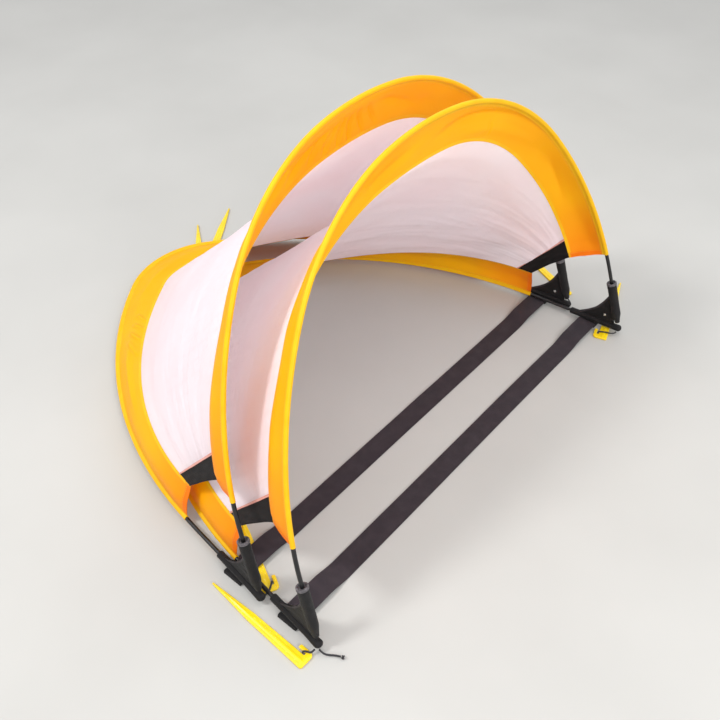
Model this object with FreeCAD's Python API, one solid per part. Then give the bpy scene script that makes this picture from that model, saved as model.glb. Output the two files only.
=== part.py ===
import FreeCAD, Part
import os
from math import cos, pi, radians, sin, tan

V = FreeCAD.Vector

# A nested pair of pop-up football goals. Each goal has a leaning front arch and a rear arch on the
# ground, two corner boots, a ground strap, a fabric cover and three pegs on elastic cords.
# X runs along the goal line, +Y into the goal, +Z up. The origin is at the middle of the underside of the
# front goal's ground strap.

# --- driving dimensions (mm, degrees) ---
goal_width = 1200.0          # foot to foot
front_reach = 798.0          # foot line to the top of the front arch, along its slope
rear_reach = 1014.0          # foot line to the back of the rear arch
lean = 18.5                  # front arch, back from upright
nest_step = 154.0            # the second goal stands this far behind the first
rod_height = 17.5            # rod axis above the ground at the feet
rod_r = 4.5

front_toe, front_straight, front_turns, front_shoulder_r = 4.5, 150.0, (33.0, 44.0), 475.0
rear_toe, rear_straight, rear_turns, rear_shoulder_r = 6.6, 200.0, (3.0, 46.0), 1024.0

channel_gap = 0.3            # rod to the hem channel round it
channel_wall = 1.2
band_width = 95.0
band_t = 1.2
net_t = 0.8
seam_gap = 0.6               # between two fabric solids along a seam
front_band_start = 236.0     # foot to the band's open end, along the rod
rear_band_start = 258.0
front_turn_foot, front_turn_top = 70.0, 27.0     # band out of the arch's plane
rear_turn_foot, rear_turn_top = 75.0, 8.0
net_start_front, net_start_rear = 302.0, 304.0   # lower edge of the net, along each rod
band_stations = 24
net_sag = 10.0

front_sleeve_r = 12.0
front_sleeve_start, front_sleeve_end = 18.0, 140.0
rear_sleeve_r = 8.5
rear_sleeve_end = 137.0
rim_r, rim_length = 13.0, 7.0
front_rod_start = 22.0
front_fold, fold_clear = 33.0, 0.8             # how far the front arch folds down, and its room there
gusset_t = 3.0
gusset_up, gusset_back = 104.0, 128.0
gusset_foot = 4.0            # its lower corners, up the front sleeve
toe_lobe_r = 8.3
toe_lobe_width = 20.0

strap_width, strap_t = 50.0, 1.6
strap_y = 82.0               # centre line behind the foot line
strap_lift_run, strap_slope_run = 100.0, 60.0    # from the foot: lifted, then sloping down
strap_end_inset = 18.2       # foot to the strap's end
strap_seat, strap_tab_out = 5.0, 4.0             # pad under the strap's end, and past the foot
tab_clear = 0.3              # over and under the pads that carry the boots

rivet_r, rivet_t = 4.0, 1.4
rivet_s_front, rivet_s_rear = 30.0, 34.0

peg_length, peg_width, peg_t = 262.0, 24.0, 6.5
peg_tip_width = 3.0
peg_head, peg_prong, peg_notch_width = 34.0, 8.0, 5.5
peg_taper_start = 150.0
peg_notch_at = 20.0          # middle of the notch from the head end
groove_depth, groove_inset, groove_widths = 1.5, (8.0, 40.0), (8.0, 3.0)     # flute along the blade

cord_r = 2.0
knot_r = 4.6
loop_lead = 9.0              # straight out of the boot's toe
loop_exit_drop = 6.5         # below the toe's centre
loop_over = 0.5              # over the peg's prong
loop_end = 2.4               # its end above the ground
loop_slack = 1.5             # sideways bow of the strand
loop_seat = 0.5              # clear of the toe's end face, which it leaves at a slant
# free end of the front left peg cord, from the left foot, with its knot beyond the last point
tail_route = [(-6.0, -7.05, 12.95), (-5.9, -15.6, 7.4), (0.0, -25.0, 3.9), (8.0, -34.5, 3.4),
              (13.0, -45.5, 4.6)]

# peg: name, goal, head end from its foot or from the back of the rear arch, turn from +Y towards +X,
# hook side
pegs = [
    ("peg_left", 1, (-43.0, -4.0), 1.5, 1),
    ("peg_right", 1, (-51.0, 18.0), 73.0, -1),
    ("peg_rear", 1, (28.0, 19.0), 40.5, -1),
    ("peg_left", 2, (22.0, 3.0), 27.0, 1),
    ("peg_right", 2, (55.0, 26.0), 23.0, -1),
    ("peg_rear", 2, (108.0, -89.0), 56.0, 1),
]

half = goal_width / 2
goals = {1: -strap_y, 2: nest_step - strap_y}     # Y of each goal's foot line
sides = {"left": -1, "right": 1}
rear_rod_start = (front_sleeve_r + rod_r + fold_clear) / sin(radians(90 - lean - front_fold))
loop_height = peg_t + cord_r + loop_over


def save(name, shape):
    shape.exportStep("parts/%s.step" % name)


# --- arches: a straight run at the foot, then three tangent arcs up to the centre line ---

def arc_run(start, end):
    """Inward and forward travel of a unit-radius arc between two headings."""
    return cos(start) - cos(end), sin(end) - sin(start)


def arch_runs(reach, toe, straight, turns, shoulder_r):
    """Half an arch as (length, heading at the start, radius); the side and top radii close it."""
    h0 = radians(toe)
    h1 = h0 + radians(turns[0])
    h2 = h1 + radians(turns[1])
    side, shoulder, top = arc_run(h0, h1), arc_run(h1, h2), arc_run(h2, pi / 2)
    inward = half - straight * sin(h0) - shoulder_r * shoulder[0]
    forward = reach - straight * cos(h0) - shoulder_r * shoulder[1]
    det = side[0] * top[1] - side[1] * top[0]
    side_r = (inward * top[1] - forward * top[0]) / det
    top_r = (side[0] * forward - side[1] * inward) / det
    return [(straight, h0, None), (side_r * (h1 - h0), h0, side_r),
            (shoulder_r * (h2 - h1), h1, shoulder_r), (top_r * (pi / 2 - h2), h2, top_r)]


front_runs = arch_runs(front_reach, front_toe, front_straight, front_turns, front_shoulder_r)
rear_runs = arch_runs(rear_reach, rear_toe, rear_straight, rear_turns, rear_shoulder_r)


def arch_length(runs):
    return sum(run[0] for run in runs)


def along(runs, s):
    """Inward travel, forward travel and heading at a distance s from the foot."""
    inward, forward = 0.0, 0.0
    for length, heading, radius in runs:
        step = min(s, length)
        if radius is None:
            inward += step * sin(heading)
            forward += step * cos(heading)
            end = heading
        else:
            end = heading + step / radius
            travel = arc_run(heading, end)
            inward += radius * travel[0]
            forward += radius * travel[1]
        s -= step
        if s <= 1e-9:
            break
    return inward, forward, end


def axes(arch):
    """The arch's forward direction and the normal on the side of its fabric."""
    if arch == "front":
        return V(0, sin(radians(lean)), cos(radians(lean))), V(0, cos(radians(lean)), -sin(radians(lean)))
    return V(0, 1, 0), V(0, 0, 1)


def runs_of(arch):
    return front_runs if arch == "front" else rear_runs


def rod_point(goal, arch, side, s):
    inward, forward, _ = along(runs_of(arch), s)
    ahead, _ = axes(arch)
    return V(side * (half - inward), goals[goal], rod_height) + ahead * forward


def rod_frame(arch, side, s):
    """Tangent away from the foot, and the in-plane normal towards the inside."""
    heading = along(runs_of(arch), s)[2]
    ahead, _ = axes(arch)
    tangent = V(-side * sin(heading), 0, 0) + ahead * cos(heading)
    inside = V(-side * cos(heading), 0, 0) - ahead * sin(heading)
    return tangent, inside


def arch_wire(goal, arch, start):
    """The arch's centre line from one side to the other, each end at a distance start from its foot."""
    runs = runs_of(arch)
    marks = [start]
    total = 0.0
    for length, _, _ in runs:
        total += length
        if total > start + 1e-6:
            marks.append(total)
    edges = []
    for side in (-1, 1):
        part = []
        for a, b in zip(marks, marks[1:]):
            p, q = rod_point(goal, arch, side, a), rod_point(goal, arch, side, b)
            mid = rod_point(goal, arch, side, (a + b) / 2)
            straight = (mid - (p + q) * 0.5).Length < 1e-4
            if side < 0:
                part.append(Part.makeLine(p, q) if straight else Part.Arc(p, mid, q).toShape())
            else:
                part.insert(0, Part.makeLine(q, p) if straight else Part.Arc(q, mid, p).toShape())
        edges += part
    return Part.Wire(edges)


def round_pipe(wire, r):
    first = wire.Edges[0]
    start = first.valueAt(first.FirstParameter)
    ring = Part.Wire(Part.makeCircle(r, start, first.tangentAt(first.FirstParameter)))
    return wire.makePipeShell([ring], True, False)


def rod(goal, arch, start):
    return round_pipe(arch_wire(goal, arch, start), rod_r)


def channel(goal, arch, start):
    wire = arch_wire(goal, arch, start)
    inner = rod_r + channel_gap
    return round_pipe(wire, inner + channel_wall).cut(round_pipe(wire, inner))


# --- fabric ---

channel_r = rod_r + channel_gap + channel_wall


def band_direction(arch, side, s):
    """From the rod towards the band's inner edge: it turns out of the arch's plane towards the foot."""
    start = front_band_start if arch == "front" else rear_band_start
    foot, top = ((front_turn_foot, front_turn_top) if arch == "front"
                 else (rear_turn_foot, rear_turn_top))
    share = min(max((s - start) / (arch_length(runs_of(arch)) - start), 0.0), 1.0)
    share = share * share * (3 - 2 * share)
    turn = radians(foot + (top - foot) * share)
    _, inside = rod_frame(arch, side, s)
    _, normal = axes(arch)
    return inside * cos(turn) + normal * sin(turn)


def band_edge(goal, arch, side, s, reach):
    return rod_point(goal, arch, side, s) + band_direction(arch, side, s) * reach


def stations(start, end, count):
    """Side and distance pairs from the left end over the top to the right end."""
    steps = [start + (end - start) * i / count for i in range(count + 1)]
    return [(-1, s) for s in steps] + [(1, s) for s in reversed(steps[:-1])]


def sheet(rows, thick, sag=0.0):
    """A thin solid through rows of two edge points, bowed inwards between them."""
    wires = []
    for i, (p, q) in enumerate(rows):
        before, after = rows[max(i - 1, 0)], rows[min(i + 1, len(rows) - 1)]
        run = (after[0] + after[1]) - (before[0] + before[1])
        normal = run.cross(q - p)
        normal.normalize()
        up = normal * (thick / 2)
        a, b, c, d = p + up, q + up, q - up, p - up
        if sag:
            mid = (p + q) * 0.5 - normal * sag
            long_1 = Part.Arc(a, mid + up, b).toShape()
            long_2 = Part.Arc(c, mid - up, d).toShape()
        else:
            long_1, long_2 = Part.makeLine(a, b), Part.makeLine(c, d)
        wires.append(Part.Wire([long_1, Part.makeLine(b, c), long_2, Part.makeLine(d, a)]))
    return Part.makeLoft(wires, True, False)


def band(goal, arch):
    start = front_band_start if arch == "front" else rear_band_start
    runs = runs_of(arch)
    inner = channel_r + seam_gap
    rows = [(band_edge(goal, arch, side, s, inner), band_edge(goal, arch, side, s, band_width))
            for side, s in stations(start, arch_length(runs), band_stations)]
    return sheet(rows, band_t)


def between_bands(goal, side, share, front_range, rear_range):
    """Front and rear band inner edges at a share of the way along two stretches, a seam apart."""
    s_front = front_range[0] + (front_range[1] - front_range[0]) * share
    s_rear = rear_range[0] + (rear_range[1] - rear_range[0]) * share
    p = band_edge(goal, "front", side, s_front, band_width)
    q = band_edge(goal, "rear", side, s_rear, band_width)
    seam = (q - p)
    seam.normalize()
    return p + seam * seam_gap, q - seam * seam_gap


def net(goal):
    front_range = (net_start_front, arch_length(front_runs))
    rear_range = (net_start_rear, arch_length(rear_runs))
    rows = [between_bands(goal, side, share, front_range, rear_range)
            for side, share in stations(0.0, 1.0, band_stations)]
    return sheet(rows, net_t, net_sag)


def corner_panel(goal, side):
    front_range = (front_band_start + 2, net_start_front - seam_gap)
    rear_range = (rear_band_start + 2, net_start_rear - seam_gap)
    rows = [between_bands(goal, side, i / 4, front_range, rear_range) for i in range(5)]
    return sheet(rows, net_t)


# --- boots ---

def foot_axis(goal, arch, side):
    start = rod_point(goal, arch, side, 0)
    direction = rod_point(goal, arch, side, 50) - start
    direction.normalize()
    return start, direction


def sleeve(goal, arch, side, r, start, end, rod_start):
    foot, direction = foot_axis(goal, arch, side)
    outside = Part.makeCylinder(r, end - start, foot + direction * start, direction)
    depth = end - rod_start + channel_gap
    hole = Part.makeCylinder(rod_r + channel_gap, depth + 1, foot + direction * (rod_start - channel_gap),
                             direction)
    return outside.cut(hole)


def front_sleeve(goal, side):
    return sleeve(goal, "front", side, front_sleeve_r, front_sleeve_start, front_sleeve_end,
                  front_rod_start)


def sleeve_rim(goal, side):
    foot, direction = foot_axis(goal, "front", side)
    base = foot + direction * front_sleeve_end
    ring = Part.makeCylinder(rim_r, rim_length, base, direction)
    return ring.cut(Part.makeCylinder(rod_r + channel_gap, rim_length, base, direction))


def boot(goal, side):
    """Rear sleeve, triangular gusset and rounded toe, in one piece of sewn webbing."""
    foot, up = foot_axis(goal, "front", side)
    _, back = foot_axis(goal, "rear", side)
    across = up.cross(back)
    across.normalize()
    clear = (front_sleeve_r + channel_gap) / up.cross(back).Length
    corners = [back * clear + up * gusset_foot, back * clear + up * gusset_up,
               back * gusset_back + up * gusset_foot]
    base = [foot + c - across * (gusset_t / 2) for c in corners]
    plate = Part.Face(Part.makePolygon(base + base[:1])).extrude(across * gusset_t)
    rear = Part.makeCylinder(rear_sleeve_r, rear_sleeve_end - clear, foot + back * clear, back)
    toe = Part.makeCylinder(toe_lobe_r, toe_lobe_width, foot - V(toe_lobe_width / 2, 0, 0), V(1, 0, 0))
    tongue = Part.makeCylinder(toe_lobe_r - 1, clear + 1, foot, back)
    hole = Part.makeCylinder(rod_r + channel_gap, rear_sleeve_end, foot + back * (rear_rod_start - channel_gap),
                             back)
    return plate.fuse([rear, toe, tongue]).removeSplitter().cut(hole)


def rivet(goal, side):
    """Eyelet rivet on the inner face of the gusset, by the corner."""
    foot, up = foot_axis(goal, "front", side)
    _, back = foot_axis(goal, "rear", side)
    across = up.cross(back)
    across.normalize()
    inward = across if across.x * side < 0 else across * -1
    base = foot + up * rivet_s_front + back * rivet_s_rear + inward * (gusset_t / 2)
    ring = Part.makeCylinder(rivet_r, rivet_t, base, inward)
    return ring.cut(Part.makeCylinder(rivet_r / 2, rivet_t, base, inward))


# --- ground strap ---

tab_top = rod_height - rear_sleeve_r - tab_clear
strap_lift = tab_top + tab_clear                 # underside of the strap at the boots
strap_end = half - strap_end_inset


def strap(goal):
    """Flat webbing on the ground, rising to the underside of the boots at each end."""
    run, slope = strap_lift_run, strap_slope_run
    y = goals[goal] + strap_y - strap_width / 2
    profile = [(strap_end, strap_lift), (half - run, strap_lift), (half - run - slope, 0)]
    under = [V(-x, y, z) for x, z in profile] + [V(x, y, z) for x, z in reversed(profile)]
    over = [p + V(0, 0, strap_t) for p in reversed(under)]
    return Part.Face(Part.makePolygon(under + over + under[:1])).extrude(V(0, strap_width, 0))


def strap_tab(goal, side):
    inner, outer = strap_end - strap_seat, half + strap_tab_out
    x = inner if side > 0 else -outer
    return Part.makeBox(outer - inner, strap_width, tab_top, V(x, goals[goal] + strap_y - strap_width / 2, 0))


# --- pegs and cords ---

def peg_frame(place, goal, head, turn):
    """Head end on the ground, direction to the tip, and the sideways direction."""
    start = V(head[0] + half * sides.get(place, 0), goals[goal] + head[1], 0)
    if place not in sides:
        start.y += rear_reach
    a = radians(turn)
    return start, V(sin(a), cos(a), 0), V(cos(a), -sin(a), 0)


def peg(place, goal, head, turn, hook):
    """A tapered moulded blade with a hooked head, lying flat."""
    start, ahead, across = peg_frame(place, goal, head, turn)
    w = peg_width / 2
    bar = peg_head * 0.4
    prong = w + peg_notch_width + peg_prong
    outline = [(0, -w), (peg_taper_start, -w * 0.8), (peg_length, -peg_tip_width / 2),
               (peg_length, peg_tip_width / 2), (peg_taper_start, w * 0.8), (peg_head, w), (bar, w),
               (bar, w + peg_notch_width), (peg_head, w + peg_notch_width), (peg_head, prong), (0, prong)]
    points = [start + ahead * s + across * (hook * side) for s, side in outline]
    blade = Part.Face(Part.makePolygon(points + points[:1])).extrude(V(0, 0, peg_t))
    near, far = peg_head + groove_inset[0], peg_taper_start + groove_inset[1]
    wide, narrow = groove_widths[0] / 2, groove_widths[1] / 2
    groove = [start + ahead * s + across * side + V(0, 0, peg_t - groove_depth)
              for s, side in [(near, -wide), (far, -narrow), (far, narrow), (near, wide)]]
    return blade.cut(Part.Face(Part.makePolygon(groove + groove[:1])).extrude(V(0, 0, groove_depth + 1)))


def cord(points, r):
    """A round tube along straight runs joined by tangent arcs."""
    edges = []
    at = points[0]
    for before, corner, after in zip(points, points[1:], points[2:]):
        back, on = before - corner, after - corner
        shorter = min(back.Length, on.Length)
        back.normalize()
        on.normalize()
        half_turn = (pi - back.getAngle(on)) / 2
        cut = 0.45 * shorter
        radius = cut / tan(half_turn)
        bisector = back + on
        bisector.normalize()
        a, b = corner + back * cut, corner + on * cut
        middle = corner + bisector * (radius / cos(half_turn) - radius)
        edges += [Part.makeLine(at, a), Part.Arc(a, middle, b).toShape()]
        at = b
        print("cord bend radius %.1f" % radius)
    edges.append(Part.makeLine(at, points[-1]))
    wire = Part.Wire(edges)
    tube = round_pipe(wire, r)
    print("cord length %.1f, volume ratio %.4f" % (wire.Length, tube.Volume / (pi * r * r * wire.Length)))
    return tube


def peg_loop(place, goal, head, turn, hook):
    """From the end face of the boot's toe, over the peg's prong, and down into its notch."""
    start, ahead, across = peg_frame(place, goal, head, turn)
    side = sides[place]
    notch = start + ahead * peg_notch_at + across * (hook * (peg_width + peg_notch_width) / 2)
    outward = 1 if (notch.x - side * half) > 0 else -1
    exit_x = side * half + outward * (toe_lobe_width / 2 + loop_seat)
    toe = V(exit_x, goals[goal], rod_height - loop_exit_drop)
    lead = V(exit_x + outward * loop_lead, goals[goal], loop_height)
    above = V(notch.x, notch.y, loop_height)
    approach = lead - above
    slack = V(-approach.y, approach.x, 0)
    slack.normalize()
    nearer = above + approach * 0.4 + slack * loop_slack
    return cord([toe, lead, nearer, above, V(notch.x, notch.y, loop_end)], cord_r)


def tail_points():
    return [V(x - half, y + goals[1], z) for x, y, z in tail_route]


def tail_knot():
    before, end = tail_points()[-2:]
    onward = end - before
    onward.normalize()
    return Part.makeSphere(knot_r, end + onward * (knot_r + 0.05))


def build():
    os.makedirs("parts", exist_ok=True)
    for goal in goals:
        save("front_arch_rod_%d" % goal, rod(goal, "front", front_rod_start))
        save("rear_arch_rod_%d" % goal, rod(goal, "rear", rear_rod_start))
        save("front_hem_channel_%d" % goal, channel(goal, "front", front_band_start))
        save("rear_hem_channel_%d" % goal, channel(goal, "rear", rear_band_start))
        save("front_band_%d" % goal, band(goal, "front"))
        save("rear_band_%d" % goal, band(goal, "rear"))
        save("net_%d" % goal, net(goal))
        for name, side in sides.items():
            save("corner_panel_%s_%d" % (name, goal), corner_panel(goal, side))
            save("front_sleeve_%s_%d" % (name, goal), front_sleeve(goal, side))
            save("boot_%s_%d" % (name, goal), boot(goal, side))
        save("sleeve_rims_%d" % goal, Part.makeCompound([sleeve_rim(goal, s) for s in sides.values()]))
        save("boot_rivets_%d" % goal, Part.makeCompound([rivet(goal, s) for s in sides.values()]))
        save("ground_strap_%d" % goal, strap(goal))
        save("strap_tabs_%d" % goal, Part.makeCompound([strap_tab(goal, s) for s in sides.values()]))
    for name, goal, head, turn, hook in pegs:
        place = name.split("_")[1]
        save("%s_%d" % (name, goal), peg(place, goal, head, turn, hook))
        if place in sides:
            save("peg_loop_%s_%d" % (place, goal), peg_loop(place, goal, head, turn, hook))
    save("cord_tail", cord(tail_points(), cord_r))
    save("tail_knot", tail_knot())


build()
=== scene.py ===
from math import cos, pi, radians, sin, sqrt, tan

import bpy
import numpy as np
from mathutils import Matrix, Vector, noise


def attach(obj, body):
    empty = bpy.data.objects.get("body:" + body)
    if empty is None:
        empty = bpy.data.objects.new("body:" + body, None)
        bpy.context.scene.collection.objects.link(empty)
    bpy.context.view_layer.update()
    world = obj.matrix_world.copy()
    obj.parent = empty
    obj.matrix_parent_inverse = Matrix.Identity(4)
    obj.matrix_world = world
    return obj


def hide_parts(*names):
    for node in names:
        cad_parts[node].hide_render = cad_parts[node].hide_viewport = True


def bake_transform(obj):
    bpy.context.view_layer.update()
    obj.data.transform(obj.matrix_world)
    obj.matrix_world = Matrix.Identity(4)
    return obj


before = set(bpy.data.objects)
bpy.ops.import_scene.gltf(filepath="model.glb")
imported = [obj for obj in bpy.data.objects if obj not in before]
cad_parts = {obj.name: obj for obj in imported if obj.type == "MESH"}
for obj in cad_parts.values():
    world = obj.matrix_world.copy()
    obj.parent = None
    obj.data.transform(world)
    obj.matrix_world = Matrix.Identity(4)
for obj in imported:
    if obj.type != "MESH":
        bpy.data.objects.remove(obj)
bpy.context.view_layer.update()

bl_info = {
    "name": "Pop-up football goals",
    "version": (1, 0, 0),
    "blender": (4, 5, 0),
    "location": "View3D > Sidebar > Goals",
    "description": "Cloth, webbing, cords and pegs of a nested pair of pop-up goals",
    "category": "Object",
}

mm = 0.001

# --- sizes shared with the frame, in metres and degrees ---
goal_width, front_reach, rear_reach = 1.2, 0.798, 1.014
lean, nest_step, rod_height, rod_r = 18.5, 0.154, 0.0175, 0.0045
half = goal_width / 2
strap_y = 0.082
feet_y = {1: -strap_y, 2: nest_step - strap_y}
sides = {"left": -1, "right": 1}
band_width = 0.095
front_sleeve = (0.018, 0.140)
rear_sleeve_end = 0.137
front_sleeve_r, rear_sleeve_r, toe_r, toe_half = 0.012, 0.0085, 0.0083, 0.010
gusset_up, gusset_back = 0.104, 0.128
strap_width, strap_t = 0.050, 0.0016
strap_end = half - 0.0182
tab_top = 0.0087
peg_length, peg_width, peg_t = 0.262, 0.024, 0.0065
peg_head, peg_prong, peg_notch = 0.034, 0.008, 0.0055
cord_r = 0.002
peg_taper, peg_tip, peg_plate_t = 0.150, 1.5 * mm, 5.2 * mm   # taper's start, half tip, thickness

# --- thickness of each cloth as drawn ---
band_t, binding_t, net_t, panel_t, tape_t = 1.2 * mm, 1.9 * mm, 0.8 * mm, 1.4 * mm, 3.4 * mm
gusset_t, gusset_edge_t = 2.6 * mm, 4.4 * mm
channel_r = 5.3 * mm
binding_trim = 4             # grid steps that the binding stops short of a band's open ends
sleeve_slim, sleeve_fill = 0.55, 0.034   # share of the radius at the bottom, and where it is full

# peg: place, goal, head end from its foot or from the back of the rear arch, turn towards +X, hook side
pegs = [
    ("left", 1, (-0.043, -0.004), 1.5, 1),
    ("right", 1, (-0.051, 0.018), 73.0, -1),
    ("rear", 1, (0.028, 0.019), 40.5, -1),
    ("left", 2, (0.022, 0.003), 27.0, 1),
    ("right", 2, (0.055, 0.026), 23.0, -1),
    ("rear", 2, (0.108, -0.089), 56.0, 1),
]


# --- settings a user would change ---

class GoalShapeSettings(bpy.types.PropertyGroup):
    """How full and how creased the cloth is."""
    bulge: bpy.props.FloatProperty(
        name="Band fullness", description="How far the bands swell outwards at the sides",
        default=0.013, min=0.0, max=0.016, unit="LENGTH")
    crease: bpy.props.FloatProperty(
        name="Crease height", description="Height of the pulls and folds in the bands",
        default=0.0075, min=0.0, max=0.010, unit="LENGTH")
    net_sag: bpy.props.FloatProperty(
        name="Net sag", description="How far the net hangs in from a straight line",
        default=0.010, min=0.0, max=0.020, unit="LENGTH")
    net_folds: bpy.props.FloatProperty(
        name="Net folds", description="Height of the long soft folds in the net",
        default=0.0030, min=0.0, max=0.006, unit="LENGTH")


class GoalColourSettings(bpy.types.PropertyGroup):
    """Colours of the cloth and the pegs."""
    band: bpy.props.StringProperty(
        name="Band", description="Bright side of the band cloth, as an sRGB hex value", default="FFC806")
    band_deep: bpy.props.StringProperty(
        name="Band, doubled", description="Band cloth where two layers lie on each other", default="FF8408")
    net: bpy.props.StringProperty(
        name="Net", description="Net cloth, as an sRGB hex value", default="FDF3F7")
    webbing: bpy.props.StringProperty(
        name="Webbing", description="Ground straps, as an sRGB hex value", default="2A2228")
    peg: bpy.props.StringProperty(
        name="Peg", description="Moulded pegs, as an sRGB hex value", default="F7D50F")


def shape():
    return bpy.context.scene.goal_shape


def colours():
    return bpy.context.scene.goal_colours


# --- arches ---

def arc_run(start, end):
    """Inward and forward travel of a unit-radius arc between two headings."""
    return cos(start) - cos(end), sin(end) - sin(start)


class Arch:
    """One rod's centre line and the cloth band along it. t runs from the left foot (-length) over the
    middle (0) to the right foot (+length)."""

    def __init__(self, reach, toe, straight, turns, shoulder_r, tilt, band_start, band_turn, net_start):
        h0 = radians(toe)
        h1 = h0 + radians(turns[0])
        h2 = h1 + radians(turns[1])
        side, shoulder, top = arc_run(h0, h1), arc_run(h1, h2), arc_run(h2, pi / 2)
        inward = half - straight * sin(h0) - shoulder_r * shoulder[0]
        forward = reach - straight * cos(h0) - shoulder_r * shoulder[1]
        det = side[0] * top[1] - side[1] * top[0]
        side_r = (inward * top[1] - forward * top[0]) / det
        top_r = (side[0] * forward - side[1] * inward) / det
        self.runs = [(straight, h0, None), (side_r * (h1 - h0), h0, side_r),
                     (shoulder_r * (h2 - h1), h1, shoulder_r), (top_r * (pi / 2 - h2), h2, top_r)]
        self.length = sum(run[0] for run in self.runs)
        a = radians(tilt)
        self.ahead = np.array([0, cos(a), sin(a)])
        self.normal = np.array([0, sin(a), -cos(a)]) if tilt else np.array([0, 0, 1.0])
        self.band_start, self.band_turn, self.net_start = band_start, band_turn, net_start

    def travel(self, s):
        inward = forward = 0.0
        for length, heading, radius in self.runs:
            step = min(s, length)
            if radius is None:
                inward += step * sin(heading)
                forward += step * cos(heading)
                end = heading
            else:
                end = heading + step / radius
                run = arc_run(heading, end)
                inward += radius * run[0]
                forward += radius * run[1]
            s -= step
            if s <= 1e-9:
                break
        return inward, forward, end

    def frame(self, goal, t):
        """Rod point, direction towards the band's inner edge, and the band's outward direction."""
        side = -1 if t < 0 else 1
        s = self.length - abs(t)
        inward, forward, heading = self.travel(s)
        point = np.array([side * (half - inward), feet_y[goal], rod_height]) + self.ahead * forward
        inside = np.array([-side * cos(heading), 0, 0]) - self.ahead * sin(heading)
        share = min(max((s - self.band_start) / (self.length - self.band_start), 0), 1)
        share = share * share * (3 - 2 * share)
        turn = radians(self.band_turn[0] + (self.band_turn[1] - self.band_turn[0]) * share)
        across = inside * cos(turn) + self.normal * sin(turn)
        outward = self.normal * cos(turn) - inside * sin(turn)
        return point, across, outward

    def foot(self, goal, side):
        """The foot and the rod's direction away from it."""
        heading = self.runs[0][1]
        start = np.array([side * half, feet_y[goal], rod_height])
        return start, np.array([-side * sin(heading), 0, 0]) + self.ahead * cos(heading)


arches = {
    "front": Arch(front_reach, 4.5, 0.150, (33.0, 44.0), 0.475, 90 - lean, 0.236, (70.0, 27.0), 0.302),
    "rear": Arch(rear_reach, 6.6, 0.200, (3.0, 46.0), 1.024, 0, 0.258, (75.0, 8.0), 0.304),
}


# --- mesh helpers ---

def unit(v):
    return v / np.maximum(np.linalg.norm(v, axis=-1, keepdims=True), 1e-12)


def deselect():
    for other in bpy.context.selected_objects:
        other.select_set(False)


def only(obj):
    deselect()
    obj.select_set(True)
    bpy.context.view_layer.objects.active = obj
    return obj


def finish_object(name, mesh, material):
    obj = bpy.data.objects.new(name, mesh)
    bpy.context.scene.collection.objects.link(obj)
    mesh.materials.append(material)
    return obj


def surface_normals(points):
    along = np.gradient(points, axis=0)
    across = np.gradient(points, axis=1)
    return unit(np.cross(along, across))


def slab(name, points, thick, uv, edges, material, outward=1, normals=None):
    """A closed sheet of cloth about a grid of middle points. uv holds metres along and across the cloth,
    edges the distances to its open end and its seam."""
    if normals is None:
        normals = surface_normals(points)
    cols, rows = points.shape[:2]
    count = cols * rows
    lift = normals * (thick / 2) * outward
    verts = np.vstack([(points + lift).reshape(-1, 3), (points - lift).reshape(-1, 3)])
    index = np.arange(count).reshape(cols, rows)
    a, b, c, d = index[:-1, :-1], index[1:, :-1], index[1:, 1:], index[:-1, 1:]
    top = np.stack([a, b, c, d], -1).reshape(-1, 4)
    if outward < 0:
        top = top[:, ::-1]
    bottom = top[:, ::-1] + count
    ring = np.concatenate([index[:-1, 0], index[-1, :-1], index[:0:-1, -1], index[0, :0:-1]])
    after = np.roll(ring, -1)
    rim = np.stack([ring, ring + count, after + count, after], -1)
    if outward < 0:
        rim = rim[:, ::-1]
    faces = np.vstack([top, bottom, rim])
    mesh = bpy.data.meshes.new(name)
    mesh.from_pydata(verts.tolist(), [], faces.tolist())
    loops = faces.ravel() % count
    for layer, data in (("cloth", uv), ("edges", edges)):
        made = mesh.uv_layers.new(name=layer)
        made.data.foreach_set("uv", data.reshape(-1, 2)[loops].astype(np.float32).ravel())
    mesh.polygons.foreach_set("use_smooth", np.ones(len(faces), bool))
    both = np.vstack([(normals * outward).reshape(-1, 3), (-normals * outward).reshape(-1, 3)])
    mesh.normals_split_custom_set_from_vertices(both.tolist())
    return finish_object(name, mesh, material)


def tube(name, rings, material):
    """A smooth skin through rings of points, with its ends closed."""
    rings = np.asarray(rings)
    count, around = rings.shape[:2]
    verts = rings.reshape(-1, 3)
    step = np.linalg.norm(np.diff(rings.mean(1), axis=0), axis=1)
    run = np.concatenate([[0], np.cumsum(step)])
    girth = np.linalg.norm(rings - np.roll(rings, -1, 1), axis=2).sum(1).mean()
    faces, uvs = [], []
    for i in range(count - 1):
        for j in range(around):
            k = (j + 1) % around
            faces.append((i * around + j, i * around + k, (i + 1) * around + k, (i + 1) * around + j))
            v0, v1 = j / around * girth, (j + 1) / around * girth
            uvs += [(run[i], v0), (run[i], v1), (run[i + 1], v1), (run[i + 1], v0)]
    for end, base in ((0, 0), (1, (count - 1) * around)):
        cap = [base + j for j in range(around)]
        faces.append(tuple(reversed(cap)) if end == 0 else tuple(cap))
        uvs += [(run[-1] * end, 0)] * around
    mesh = bpy.data.meshes.new(name)
    mesh.from_pydata(verts.tolist(), [], faces)
    layer = mesh.uv_layers.new(name="cloth")
    layer.data.foreach_set("uv", np.array(uvs, np.float32).ravel())
    mesh.polygons.foreach_set("use_smooth", np.ones(len(faces), bool))
    obj = finish_object(name, mesh, material)
    only(obj)
    bpy.ops.object.mode_set(mode="EDIT")
    bpy.ops.mesh.select_all(action="SELECT")
    bpy.ops.mesh.normals_make_consistent(inside=False)
    bpy.ops.object.mode_set(mode="OBJECT")
    bpy.ops.object.shade_smooth_by_angle(angle=radians(50))
    return obj


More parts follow.
